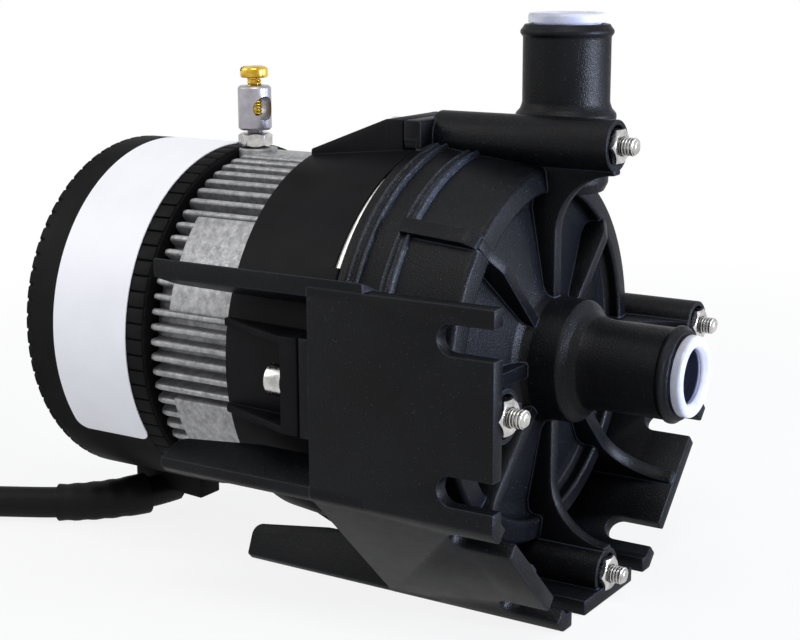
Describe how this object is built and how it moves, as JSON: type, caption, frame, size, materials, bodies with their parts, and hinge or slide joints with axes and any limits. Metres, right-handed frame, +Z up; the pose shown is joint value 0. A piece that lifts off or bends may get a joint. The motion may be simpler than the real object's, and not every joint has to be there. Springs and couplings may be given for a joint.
{
  "type": "circulator pump",
  "caption": "Small finned circulator pump with an axial inlet, an upright outlet, slotted feet, a bonding lug and a coiled mains lead with a plug.",
  "frame": {"origin": "middle of the underside of the bottom foot, which the pump stands on", "axes": "+Y along the pump axis from the inlet to the rear cap, +X to the right-hand side, +Z up along the outlet port"},
  "size_m": [0.1278, 0.3205, 0.1269],
  "materials": {
    "casing_black": "black glass-filled plastic, satin",
    "ring_black": "black moulded plastic, matte",
    "cap_black": "black moulded plastic, matte",
    "cast_aluminium": "die-cast, unpainted, slightly mottled",
    "bright_steel": "bright zinc-plated or stainless steel",
    "lug_metal": "satin nickel-plated metal",
    "brass": "bright turned brass",
    "stainless": "drawn stainless steel",
    "ceramic": "polished ceramic",
    "carbon": "carbon bearing material",
    "magnet_grey": "plastic-coated ferrite magnet",
    "impeller_resin": "dark moulded resin",
    "lamination": "stacked electrical steel",
    "copper": "enamelled copper wire",
    "insulation": "insulating sheet",
    "board_green": "circuit board laminate",
    "capacitor_grey": "plastic capacitor case",
    "terminal_white": "moulded terminal block",
    "plate_white": "blank white plastic film, satin",
    "plug_white": "translucent soft white plastic",
    "seal_rubber": "black rubber",
    "cord_black": "black flexible cord jacket",
    "tie_black": "black plastic strap"
  },
  "bodies": {
    "pump": {"volute_casing": "casing_black", "clamp_ring": "ring_black", "motor_housing": "cast_aluminium", "separation_can": "stainless", "casing_seal": "seal_rubber", "bearing_post": "stainless", "bearing_ball": "ceramic", "stator_core": "lamination", "stator_windings": "copper", "winding_insulator": "insulation", "thermal_protector": "insulation", "terminal_board": "board_green", "run_capacitor": "capacitor_grey", "line_terminal_live": "terminal_white", "line_terminal_earth": "terminal_white", "line_terminal_neutral": "terminal_white", "rear_cap": "cap_black", "rating_plate": "plate_white", "bonding_lug_body": "lug_metal", "bonding_lug_nut": "bright_steel", "casing_bolt_top": "bright_steel", "casing_bolt_right": "bright_steel", "casing_bolt_left": "bright_steel", "casing_bolt_bottom": "bright_steel", "casing_nut_top": "bright_steel", "casing_nut_right": "bright_steel", "casing_nut_left": "bright_steel", "casing_nut_bottom": "bright_steel", "cord_clamp_block": "cap_black", "cord_boot": "cord_black", "power_cord": "cord_black", "cord_coil": "cord_black", "cord_tie": "tie_black", "cord_tail": "cord_black", "cord_plug": "cord_black", "plug_blade_near": "brass", "plug_blade_far": "brass", "plug_earth_pin": "brass"},
    "rotor": {"rotor_magnet": "magnet_grey", "impeller": "impeller_resin", "bearing_cup": "carbon"},
    "inlet_plug_body": {"inlet_plug": "plug_white"},
    "outlet_plug_body": {"outlet_plug": "plug_white"},
    "lug_screw": {"bonding_lug_screw": "brass"}
  },
  "joints": [
    {"name": "rotor_spin", "type": "hinge", "parent": "pump", "child": "rotor", "pos_m": [0, 0.016, 0.053], "axis": [0, 1, 0], "continuous": true},
    {"name": "inlet_plug_pull", "type": "slide", "parent": "pump", "child": "inlet_plug_body", "axis": [0, -1, 0], "range_m": [0, 0.02]},
    {"name": "outlet_plug_pull", "type": "slide", "parent": "pump", "child": "outlet_plug_body", "axis": [0, 0, 1], "range_m": [0, 0.02]},
    {"name": "lug_screw_travel", "type": "slide", "parent": "pump", "child": "lug_screw", "axis": [0, 0, 1], "range_m": [0, 0.0055]}
  ]
}
